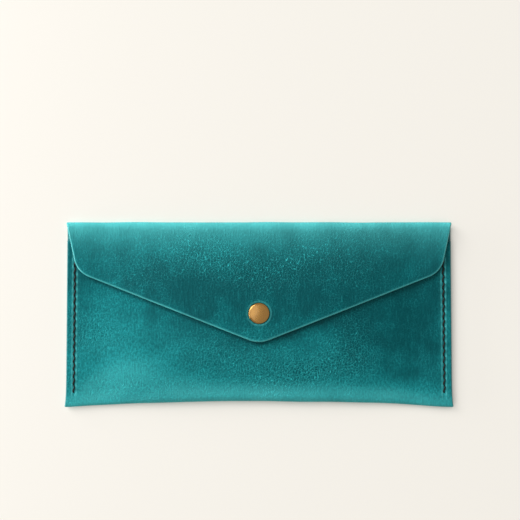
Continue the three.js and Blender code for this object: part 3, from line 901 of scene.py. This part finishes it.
def flap_outline(form):
    """The right half of the outline, from above the top fold to the tip, as closely spaced points."""
    marks = flap_corners(form)
    flap = form.flap
    start = marks["round_start"] - marks["centre"]
    end = marks["round_end"] - marks["centre"]
    from_angle, to_angle = math.atan2(start.y, start.x), math.atan2(end.y, end.x)
    corner = [
        marks["centre"] + Vector((math.cos(a), math.sin(a))) * flap.corner_radius
        for a in np.linspace(from_angle, to_angle, CORNER_POINTS)
    ]
    tip_from = -math.pi / 2 + marks["steep"]
    tip = [
        marks["tip_centre"] + Vector((math.cos(a), math.sin(a))) * flap.tip_radius
        for a in np.linspace(tip_from, -math.pi / 2, TIP_POINTS)
    ]
    # The side's line runs on a little, so that the width can be read anywhere along the fold.
    above = marks["side_top"] + (marks["side_top"] - marks["corner"]) * 0.2
    return np.array([above, *corner, *tip])


def along_line(points, shares):
    """Points at those shares of a line's length."""
    steps = np.hypot(*np.diff(points, axis=0).T)
    reached = np.concatenate([[0], np.cumsum(steps)])
    wanted = np.asarray(shares) * reached[-1]
    return np.stack([np.interp(wanted, reached, points[:, i]) for i in (0, 1)], axis=-1)


# Keeps a piece of no length out of a division
TINY = 1e-18


def distance_to(points, line):
    """Shortest distance from each point to a line of short straight pieces."""
    best = np.full(points.shape[:-1], np.inf)
    for a, b in zip(line[:-1], line[1:]):
        d = b - a
        t = np.clip(((points - a) @ d) / max(d @ d, TINY), 0, 1)
        nearest = a + t[..., None] * d
        best = np.minimum(best, np.hypot(*np.moveaxis(points - nearest, -1, 0)))
    return best


def flap_panel(form, side):
    """A grid over the flap, from the end of the fold to the outline, and its points' distance to the edge."""
    across = np.abs(side)
    outline = flap_outline(form)
    corner = flap_corners(form)["corner"]
    # The grid's own corner sits on the outline's round one, half way round it.
    turn = np.argmin(np.abs(outline.sum(axis=1) - corner.x - corner.y))
    top_y = form.top_fold(across)[1]
    end_y = float(top_y[0])
    top = np.stack([side * np.interp(-top_y, -outline[:, 1], outline[:, 0]), top_y], axis=-1)
    start_x = float(np.interp(-end_y, -outline[:, 1], outline[:, 0]))
    side_line = np.array([[start_x, end_y], *[p for p in outline[: turn + 1] if p[1] < end_y]])
    share = along_line(outline[turn:][::-1], across)
    bottom = np.stack([np.sign(side) * share[:, 0], share[:, 1]], axis=-1)
    reach = form.flap.reach - form.flap.butt
    rows = np.concatenate([spaced(0, reach - EDGE_RINGS[-1], FLAP_STEP), reach - EDGE_RINGS[-2::-1]])
    down = rows / reach
    right = along_line(side_line, down)
    left = right * np.array([-1, 1])

    # A patch between four lines: spanned one way, plus the other way, less what both have from the corners
    u = ((side + 1) / 2)[None, :, None]
    v = down[:, None, None]
    between_ends = (1 - v) * top[None] + v * bottom[None]
    between_sides = (1 - u) * left[:, None] + u * right[:, None]
    along_top = (1 - u) * top[0] + u * top[-1]
    along_bottom = (1 - u) * bottom[0] + u * bottom[-1]
    between_corners = (1 - v) * along_top + v * along_bottom
    grid = between_ends + between_sides - between_corners
    edge = distance_to(grid, np.concatenate([outline * np.array([-1, 1]), outline[::-1]]))
    edge[-1] = 0
    edge[:, 0] = 0
    edge[:, -1] = 0
    return grid, edge


# How deep the cap is pressed into the flap, and between which radii that ends
CAP_PRESS = 0.3 * MM
CAP_PRESS_ENDS = (5.3 * MM, 6.6 * MM)
# The pale ring round it: partly stretched leather, partly a painted highlight on the slope of the dent
CAP_RING = 0.42
CAP_RING_RADIUS = 6.1 * MM
CAP_RING_WIDTH = 0.3 * MM
# Width of the painted highlight along the flap's edge
EDGE_HIGHLIGHT = 0.58 * MM
# How pale the back is where it turns into the top fold, partly wear and partly painted light, and the rows of
# its strip
BACK_PALE = 0.25
STRIP_ROWS = 6


def flap_rows(skin_of):
    """A strip of the back panel, the top fold and the flap, from the joining line to the tip."""
    form, side, across = skin_of.form, skin_of.side, skin_of.across
    skin = form.leather.skin
    side_edge = (1 - across) * BLANK_WIDTH / 2
    back = form.lift(across)
    fold = form.top_fold(across)
    outline = flap_outline(form)
    joining = TOP - form.flap.butt
    for row in range(STRIP_ROWS):
        share = row / STRIP_ROWS
        y = joining + (fold[1] - joining) * share
        x = side * form.half_width(y)
        skin_of.add(x, (y, back), (y, back + skin), side_edge, 0.0, BACK_PALE * share)
    arc_steps = FOLD_STEPS * 2
    for step in range(arc_steps):
        angle = -math.pi / 2 + math.pi * step / arc_steps
        outer, inner = on_arc(fold, skin, angle)
        width = form.half_width(outer[0])
        if angle > 0:
            width = np.minimum(width, np.interp(-outer[0], -outline[:, 1], outline[:, 0]))
        skin_of.add(side * width, outer, inner, side_edge, 0.0, fold_wear_and_sheen(TOP - outer[0]))
    for points, from_edge in zip(*flap_panel(form, side)):
        x, y = points[:, 0], points[:, 1]
        inner = form.flap_inner(np.abs(x) / form.half_width(y), y)
        from_cap = np.hypot(x, y - SNAP_Y)
        pressed = CAP_PRESS * (1 - smooth(*CAP_PRESS_ENDS, from_cap))
        # The ring round the cap and the line along the edge are in part painted highlights, and the top
        # fold's paleness is partly painted light.
        ring = CAP_RING * hump(from_cap - CAP_RING_RADIUS, CAP_RING_WIDTH)
        worn_and_sheen = np.maximum(fold_wear_and_sheen(TOP - y), hump(from_edge, EDGE_HIGHLIGHT))
        skin_of.add(x, (y, inner + skin), (y, inner), from_edge, pressed, np.maximum(ring, worn_and_sheen))


def wallet_form():
    """The form that the sizes in the sidebar give."""
    scene = bpy.context.scene
    return Form(scene.wallet_leather, scene.wallet_flap)


class WALLET_OT_pocket(bpy.types.Operator):
    """Back panel, bottom fold and front panel of the skin"""

    bl_idname = "wallet.pocket"
    bl_label = "Pocket leather"

    def execute(self, context):
        stitch = context.scene.wallet_stitch
        skin_of = Skin(wallet_form(), stitch, columns(stitch))
        body_rows(skin_of)
        made = skin_of.build("pocket_leather")
        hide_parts("leather_body")
        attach(made, "wallet")
        return {"FINISHED"}


class WALLET_OT_flap(bpy.types.Operator):
    """Top fold and pointed flap of the skin"""

    bl_idname = "wallet.flap"
    bl_label = "Flap leather"

    def execute(self, context):
        stitch = context.scene.wallet_stitch
        form = wallet_form()
        skin_of = Skin(form, stitch, columns(stitch, SNAP_STEP))
        flap_rows(skin_of)
        made = skin_of.build("flap_leather", upwards=True)
        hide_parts("leather_flap")
        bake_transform(made)
        return {"FINISHED"}


# The thread's mesh
THREAD_SIDES = 10
STEPS_PER_STITCH = 14
THROUGH_STEPS = 4
# Three plies make a turn on this length, and stand out from and sink below the thread's radius.
PLIES = 3
PLY_TWIST = 1.9 * MM
PLY_MIDDLE = 0.92
PLY_SWELL = 0.1
# A stitch stays high over most of its length and dips steeply at its holes.
DIP_STEEPNESS = 2.6
# The thread pulls thinner on the back and through the leather.
BACK_THREAD = 0.9
THROUGH_THREAD = 0.8
# How far the thread in a hole runs past the runs of stitches that it joins
THREAD_OVERLAP = 0.2 * MM


def tube_faces(rings, sides):
    """Faces of a closed tube of that many rings."""
    faces = []
    for low in range(0, (rings - 1) * sides, sides):
        for j in range(sides):
            k = (j + 1) % sides
            faces.append([low + j, low + k, low + sides + k, low + sides + j])
    last = (rings - 1) * sides
    return [*faces, list(range(sides))[::-1], list(range(last, last + sides))]


def thread_tube(centres, radius):
    """A closed tube of twisted plies along a line of centres: points and faces."""
    forward = np.gradient(centres, axis=0)
    forward /= np.linalg.norm(forward, axis=1)[:, None]
    across = np.cross(forward, np.array([1.0, 0, 0]))
    across /= np.linalg.norm(across, axis=1)[:, None]
    third = np.cross(forward, across)
    walked = np.concatenate([[0], np.cumsum(np.linalg.norm(np.diff(centres, axis=0), axis=1))])
    angle = np.arange(THREAD_SIDES) * 2 * math.pi / THREAD_SIDES
    ply = np.cos(PLIES * (angle[None] - 2 * math.pi * walked[:, None] / PLY_TWIST))
    r = radius * (PLY_MIDDLE + PLY_SWELL * ply)
    aside, above = np.cos(angle)[None, :, None], np.sin(angle)[None, :, None]
    ring = across[:, None] * aside + third[:, None] * above
    points = (centres[:, None] + ring * r[..., None]).reshape(-1, 3)
    return points, tube_faces(len(centres), THREAD_SIDES)


def stitch_centres(form, stitch, side, face, outward):
    """The line of one face's run of stitches: out of each hole, leaning across and into the next."""
    t = np.linspace(0, stitch.count, stitch.count * STEPS_PER_STITCH + 1)
    phase = t % 1
    y = BOTTOM + stitch.start + t * stitch.pitch
    crossing = (1 - np.sin(math.pi * phase)) ** DIP_STEEPNESS
    z = face + outward * (stitch.crown - (stitch.crown + stitch.dip) * crossing)
    x = side * seam_x(form, stitch, y) - stitch.slant * np.sin(2 * math.pi * phase)
    return np.stack([x, y, z], axis=-1)


def piece(name, points, faces, material, node, body):
    """A smooth piece that takes the place of a solid and rides on a body."""
    mesh = bpy.data.meshes.new(name)
    mesh.from_pydata(points, [], faces)
    mesh.polygons.foreach_set("use_smooth", np.ones(len(faces), bool))
    mesh.materials.append(material)
    made = bpy.data.objects.new(name, mesh)
    bpy.context.scene.collection.objects.link(made)
    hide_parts(node)
    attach(made, body)


def seam(name, node, side):
    """One seam: a run of stitches on each face, and the thread through each hole."""
    stitch = bpy.context.scene.wallet_stitch
    form = wallet_form()
    back = form.leather.seam_lift
    front = back + 2 * form.leather.skin + form.leather.layer_gap
    runs = [
        thread_tube(stitch_centres(form, stitch, side, front, 1), stitch.thread),
        thread_tube(stitch_centres(form, stitch, side, back, -1), stitch.thread * BACK_THREAD),
    ]
    low, high = back + stitch.dip - THREAD_OVERLAP, front - stitch.dip + THREAD_OVERLAP
    for i in range(stitch.count + 1):
        y = BOTTOM + stitch.start + i * stitch.pitch
        x = side * seam_x(form, stitch, y)
        line = np.array([[x, y, z] for z in np.linspace(low, high, THROUGH_STEPS + 1)])
        runs.append(thread_tube(line, stitch.thread * THROUGH_THREAD))
    points, faces = [], []
    for run_points, run_faces in runs:
        faces += [[i + len(points) for i in face] for face in run_faces]
        points += run_points.tolist()
    linen = material_named("waxed_linen", waxed_linen)
    piece(name, points, faces, linen, node, "wallet")


class WALLET_OT_stitching(bpy.types.Operator):
    """Saddle stitching of both side seams"""

    bl_idname = "wallet.stitching"
    bl_label = "Stitching"

    def execute(self, context):
        seam("left_stitches", "left_seam_thread", -1)
        seam("right_stitches", "right_seam_thread", 1)
        return {"FINISHED"}


# Steps round a turned piece, and along the spring's wire
TURNED_STEPS = 96


def turned(name, node, body, profile):
    """A brass piece turned on the snap's axis from a closed profile of radius and height."""
    angle = np.arange(TURNED_STEPS) * 2 * math.pi / TURNED_STEPS
    points, rings = [], []
    for radius, height in profile:
        if radius <= 0:
            rings.append([len(points)] * TURNED_STEPS)
            points.append([0, SNAP_Y, height])
            continue
        rings.append(list(range(len(points), len(points) + TURNED_STEPS)))
        points += [[radius * math.cos(a), SNAP_Y + radius * math.sin(a), height] for a in angle]
    if profile[0][0] > 0:
        rings.append(rings[0])
    faces = []
    for low, high in zip(rings[:-1], rings[1:]):
        for j in range(TURNED_STEPS):
            k = (j + 1) % TURNED_STEPS
            face = list(dict.fromkeys([low[j], low[k], high[k], high[j]]))
            if len(face) > 2:
                faces.append(face)
    brass = material_named("tumbled_brass", tumbled_brass)
    piece(name, points, faces, brass, node, body)


def arc_profile(centre, radius, start, end, steps=6):
    """Points of a profile round an arc, angles in degrees."""
    angles = np.radians(np.linspace(start, end, steps))
    return [(centre[0] + radius * math.cos(a), centre[1] + radius * math.sin(a)) for a in angles]


WIRE_SIDES = 12


def round_wire(line, radius):
    """A plain closed wire that lies level along a line: points and faces."""
    forward = np.gradient(line, axis=0)
    forward /= np.linalg.norm(forward, axis=1)[:, None]
    up = np.array([0, 0, 1.0])
    out = np.cross(forward, up)
    angle = np.arange(WIRE_SIDES) * 2 * math.pi / WIRE_SIDES
    ring = out[:, None] * np.cos(angle)[None, :, None] + up * np.sin(angle)[None, :, None]
    points = (line[:, None] + ring * radius).reshape(-1, 3)
    last = (len(line) - 1) * WIRE_SIDES
    faces = []
    for low in range(0, last, WIRE_SIDES):
        high = low + WIRE_SIDES
        for j in range(WIRE_SIDES):
            k = (j + 1) % WIRE_SIDES
            faces.append([low + j, high + j, high + k, low + k])
    faces.append(list(range(WIRE_SIDES)))
    faces.append(list(range(last, last + WIRE_SIDES))[::-1])
    return points, faces


class WALLET_OT_snap(bpy.types.Operator):
    """The ring snap: cap, socket and spring on the flap, stud and post on the pocket"""

    bl_idname = "wallet.snap"
    bl_label = "Ring snap"

    def execute(self, context):
        self.cap()
        self.socket()
        self.spring()
        self.stud()
        self.post()
        return {"FINISHED"}

    def cap(self):
        """A shallow dome whose rim curls down into the leather, on a short rivet."""
        rim, top = cap_high.x, cap_high.z
        face = 4.1 * MM
        face_dome = 0.22 * MM
        curl = 0.35 * MM
        drop = 1.25 * MM
        rivet = 1.7 * MM
        bevel = 0.3 * MM
        edge = top - face_dome - drop
        under = edge - 0.6 * curl
        dome = [(face * share, top - face_dome * share**2) for share in np.linspace(0, 1, 8)]
        # The shoulder starts a little past level, so that the face meets it in a soft turn.
        turn = np.radians(np.linspace(8, 90, 12))
        shoulder = [(face + (rim - face) * math.sin(a), edge + drop * math.cos(a)) for a in turn]
        profile = [
            (0, cap_low.z),
            (rivet - bevel, cap_low.z),
            (rivet, cap_low.z + bevel),
            (rivet, under),
            (rim - 2.4 * curl, under),
            *arc_profile((rim - curl, edge), curl, -90, -20, 6),
            *shoulder[::-1],
            *dome[::-1],
        ]
        turned("cap", "snap_cap", "flap", profile)

    def socket(self):
        """A rolled ring with an open mouth for the stud."""
        rim = socket_high.x
        top, bottom = socket_high.z, socket_low.z
        wall = 0.35 * MM
        rim_round = 0.5 * MM
        bore = 1.9 * MM
        mouth = 2.7 * MM
        bead = 0.3 * MM
        profile = [
            (bore, top - wall),
            (rim - wall - rim_round, top - wall),
            (rim - wall - rim_round, bottom + 2 * bead),
            *arc_profile((mouth + bead, bottom + bead), bead, 90, 270, 8),
            *arc_profile((rim - rim_round, bottom + rim_round), rim_round, -90, 0, 7),
            *arc_profile((rim - rim_round, top - rim_round), rim_round, 0, 90, 7),
            (bore, top),
        ]
        turned("socket", "snap_socket", "flap", profile)

    def spring(self):
        """A ring of round spring wire with one gap."""
        radius = (spring_high.z - spring_low.z) / 2
        height = (spring_high.z + spring_low.z) / 2
        ring = -spring_low.x - radius
        gap = math.radians(14)
        angle = np.linspace(math.pi / 2 + gap, 2.5 * math.pi - gap, TURNED_STEPS + 1)
        level = np.full_like(angle, height)
        line = np.stack([ring * np.cos(angle), SNAP_Y + ring * np.sin(angle), level], axis=-1)
        points, faces = round_wire(line, radius)
        wire = material_named("spring_wire", spring_wire)
        piece("spring", points.tolist(), faces, wire, "snap_spring", "flap")

    def stud(self):
        """A flange with a waisted knob, pressed from one hollow piece."""
        flange = stud_high.x
        base, top = stud_low.z, stud_high.z
        thick = 0.4 * MM
        knob = 2.4 * MM
        knob_round = 0.45 * MM
        neck = 2.0 * MM
        neck_round = 0.4 * MM
        bore = 1.5 * MM
        ceiling = top - 0.25 * MM
        profile = [
            (0, ceiling),
            (bore, ceiling),
            (bore, base),
            *arc_profile((flange - thick / 2, base + thick / 2), thick / 2, -90, 90, 8),
            *arc_profile((neck + neck_round, base + thick + neck_round), neck_round, -90, -180, 6),
            *arc_profile((knob - knob_round, top - knob_round), knob_round, -20, 90, 9),
            (0, top),
        ]
        turned("stud", "snap_stud", "wallet", profile)

    def post(self):
        """An eyelet whose flange sits in the pocket, with its tube up through the front panel."""
        flange = post_high.x
        base, top = post_low.z, post_high.z
        thick = 0.4 * MM
        outer, inner = 1.3 * MM, 0.9 * MM
        flare, bevel = 0.3 * MM, 0.1 * MM
        profile = [
            (inner + flare, base),
            *arc_profile((flange - thick / 2, base + thick / 2), thick / 2, -90, 90, 8),
            (outer, base + thick),
            (outer, top - bevel),
            (outer - bevel, top),
            (inner, top),
            (inner, base + flare),
        ]
        turned("post", "snap_post", "wallet", profile)


# The photograph is square, and the wallet fills 389 of its 520 pixels across, a pixel left of the middle.
PHOTO_WIDTH = 520
WALLET_PIXELS = 389
WALLET_MIDDLE_PIXEL = 314.7
WALLET_ASIDE = 0.5 * MM
CAMERA_DISTANCE = 1.15
SENSOR = 36.0
CAMERA_REACH = 10
# The card's radius, where it starts to fade, and how much of its colour is its own glow before that
FLOOR_RADIUS = 0.9
FADE_START = 0.35
FLOOR_GLOW = 0.68
# How far from the wallet the leather that overhangs the card darkens it, and from which side
CONTACT_REACH = 5 * MM
CONTACT_SIDE = (0.0, 0.7, 0.7)
# How open the card is to that side where it stops glowing, and where it glows in full
CONTACT_DARK = 0.4
CONTACT_CLEAR = 0.95
WORLD_STRENGTH = 0.33
# Each lamp's name, place, size and power, and the height of a strip. The key at the upper left casts the
# shadow on the right, the strip low at the left shines on the cap's side, and the overhead fills the front.
LAMPS = (
    ("key", (-1.6, 1.35, 1.45), 1.6, 54.0, 0.0),
    ("strip", (-0.43, 0.06, 0.07), 0.6, 1.8, 0.1),
    ("overhead", (-0.5, 0.1, 1.6), 1.0, 4.6, 0.0),
)


def seen_directly(tree):
    """1 for the rays by which the camera, metal and glass see a thing, and 0 for the light it gives."""
    path = add_node(tree, "LightPath", {}, {}).node
    seen = path.outputs["Is Camera Ray"]
    for ray in ("Is Glossy Ray", "Is Transmission Ray"):
        seen = add_node(tree, "Math", LARGER, {0: seen, 1: path.outputs[ray]})
    return seen


def matt_card(colours):
    """Uncoated card: pale and matt. Seen directly it glows a little, and less where leather overhangs it."""
    material, tree, shader = new_material("matt_card")
    pale = tuple(colours.floor)
    feed(tree, shader, {"Base Color": pale, "Roughness": 0.9, "Specular IOR Level": 0.2})
    glow = add_node(tree, "Emission", {}, {"Color": pale, "Strength": 1})
    out = add_node(tree, "VectorMath", {"operation": "LENGTH"}, {0: object_place(tree)}, "Value")
    fade = {"Value": out, "From Min": FADE_START, "From Max": FLOOR_RADIUS, "To Min": FLOOR_GLOW}
    glowing = add_node(tree, "MapRange", EASED, fade)
    near = {"Distance": CONTACT_REACH, "Normal": CONTACT_SIDE}
    clear = add_node(tree, "AmbientOcclusion", {"samples": 12}, near, "AO")
    open_sky = {"Value": clear, "From Min": CONTACT_DARK, "From Max": CONTACT_CLEAR}
    lit = add_node(tree, "MapRange", {}, open_sky)
    glowing = add_node(tree, "Math", TIMES, {0: glowing, 1: lit})
    share = add_node(tree, "Math", TIMES, {0: seen_directly(tree), 1: glowing})
    mixed = add_node(tree, "MixShader", {}, {0: share, 1: shader.outputs[0], 2: glow})
    feed(tree, tree.nodes["Material Output"], {"Surface": mixed})
    return material


class WALLET_OT_stage(bpy.types.Operator):
    """Floor, soft studio light and the camera that looks straight down"""

    bl_idname = "wallet.stage"
    bl_label = "Stage"

    def execute(self, context):
        scene = context.scene
        scene.view_settings.view_transform = "Standard"
        self.floor(scene)
        self.world(scene)
        for lamp in LAMPS:
            self.lamp(*lamp)
        self.camera(scene)
        return {"FINISHED"}

    def floor(self, scene):
        """A round card that keeps the wallet's shadow and fades into the backdrop at its rim."""
        mesh = bpy.data.meshes.new("matt_card")
        angles = np.arange(TURNED_STEPS) * 2 * math.pi / TURNED_STEPS
        rim = [(FLOOR_RADIUS * math.cos(a), FLOOR_RADIUS * math.sin(a), 0) for a in angles]
        mesh.from_pydata(rim, [], [list(range(TURNED_STEPS))])
        floor = bpy.data.objects.new("matt_card", mesh)
        scene.collection.objects.link(floor)
        mesh.materials.append(matt_card(scene.wallet_colours))

    def world(self, scene):
        """Soft daylight from all round, behind which the camera sees the pale backdrop."""
        world = bpy.data.worlds.new("studio")
        scene.world = world
        world.use_nodes = True
        tree = world.node_tree
        light = tree.nodes["Background"]
        feed(tree, light, {"Color": tuple(scene.wallet_colours.daylight), "Strength": WORLD_STRENGTH})
        pale = tuple(scene.wallet_colours.floor)
        backdrop = add_node(tree, "Background", {}, {"Color": pale, "Strength": 1})
        parts = {0: seen_directly(tree), 1: light.outputs[0], 2: backdrop}
        feed(tree, tree.nodes["World Output"], {"Surface": add_node(tree, "MixShader", {}, parts)})

    def lamp(self, name, place, size, power, height):
        """A round lamp, or a strip of that height where one is given, that faces the wallet."""
        light = bpy.data.lights.new(name, "AREA")
        light.shape = "RECTANGLE" if height else "DISK"
        light.size = size
        light.size_y = height or size
        light.energy = power
        made = bpy.data.objects.new(name, light)
        made.location = place
        made.visible_camera = False
        aim = Vector((0, 0, 0)) - Vector(place)
        made.rotation_euler = aim.to_track_quat("-Z", "Y").to_euler()
        bpy.context.scene.collection.objects.link(made)

    def camera(self, scene):
        """The camera over the wallet, as far up and aside as the photograph shows it."""
        metres_per_pixel = (body_high.x - body_low.x) / WALLET_PIXELS
        frame_width = metres_per_pixel * PHOTO_WIDTH
        seam_height = scene.wallet_leather.seam_lift + scene.wallet_leather.skin
        above_middle = (WALLET_MIDDLE_PIXEL - PHOTO_WIDTH / 2) * metres_per_pixel
        data = bpy.data.cameras.new("camera")
        data.sensor_width = SENSOR
        data.lens = SENSOR * CAMERA_DISTANCE / frame_width
        data.clip_end = CAMERA_REACH
        camera = bpy.data.objects.new("camera", data)
        camera.location = (WALLET_ASIDE, above_middle, seam_height + CAMERA_DISTANCE)
        scene.collection.objects.link(camera)
        scene.camera = camera


class WALLET_PT_panel(bpy.types.Panel):
    """Builders and sizes of the wallet"""

    bl_idname = "WALLET_PT_panel"
    bl_label = "Envelope wallet"
    bl_space_type = "VIEW_3D"
    bl_region_type = "UI"
    bl_category = "Wallet"

    def draw(self, context):
        for operator in OPERATORS:
            self.layout.operator(operator.bl_idname)
        for group in PROPERTIES:
            box = self.layout.box()
            values = getattr(context.scene, group)
            for name in values.__annotations__:
                box.prop(values, name)


OPERATORS = (WALLET_OT_stage, WALLET_OT_pocket, WALLET_OT_flap, WALLET_OT_stitching, WALLET_OT_snap)
PROPERTIES = {
    "wallet_leather": LeatherSizes,
    "wallet_flap": FlapSizes,
    "wallet_stitch": StitchSizes,
    "wallet_colours": WalletColours,
}
CLASSES = (*PROPERTIES.values(), *OPERATORS, WALLET_PT_panel)


def register():
    for kind in CLASSES:
        bpy.utils.register_class(kind)
    for name, group in PROPERTIES.items():
        setattr(bpy.types.Scene, name, PointerProperty(type=group))


def unregister():
    for name in PROPERTIES:
        delattr(bpy.types.Scene, name)
    for kind in reversed(CLASSES):
        bpy.utils.unregister_class(kind)


def main():
    register()
    bpy.ops.wallet.stage()
    bpy.ops.wallet.pocket()
    bpy.ops.wallet.flap()
    bpy.ops.wallet.stitching()
    bpy.ops.wallet.snap()


if __name__ == "__main__":
    main()
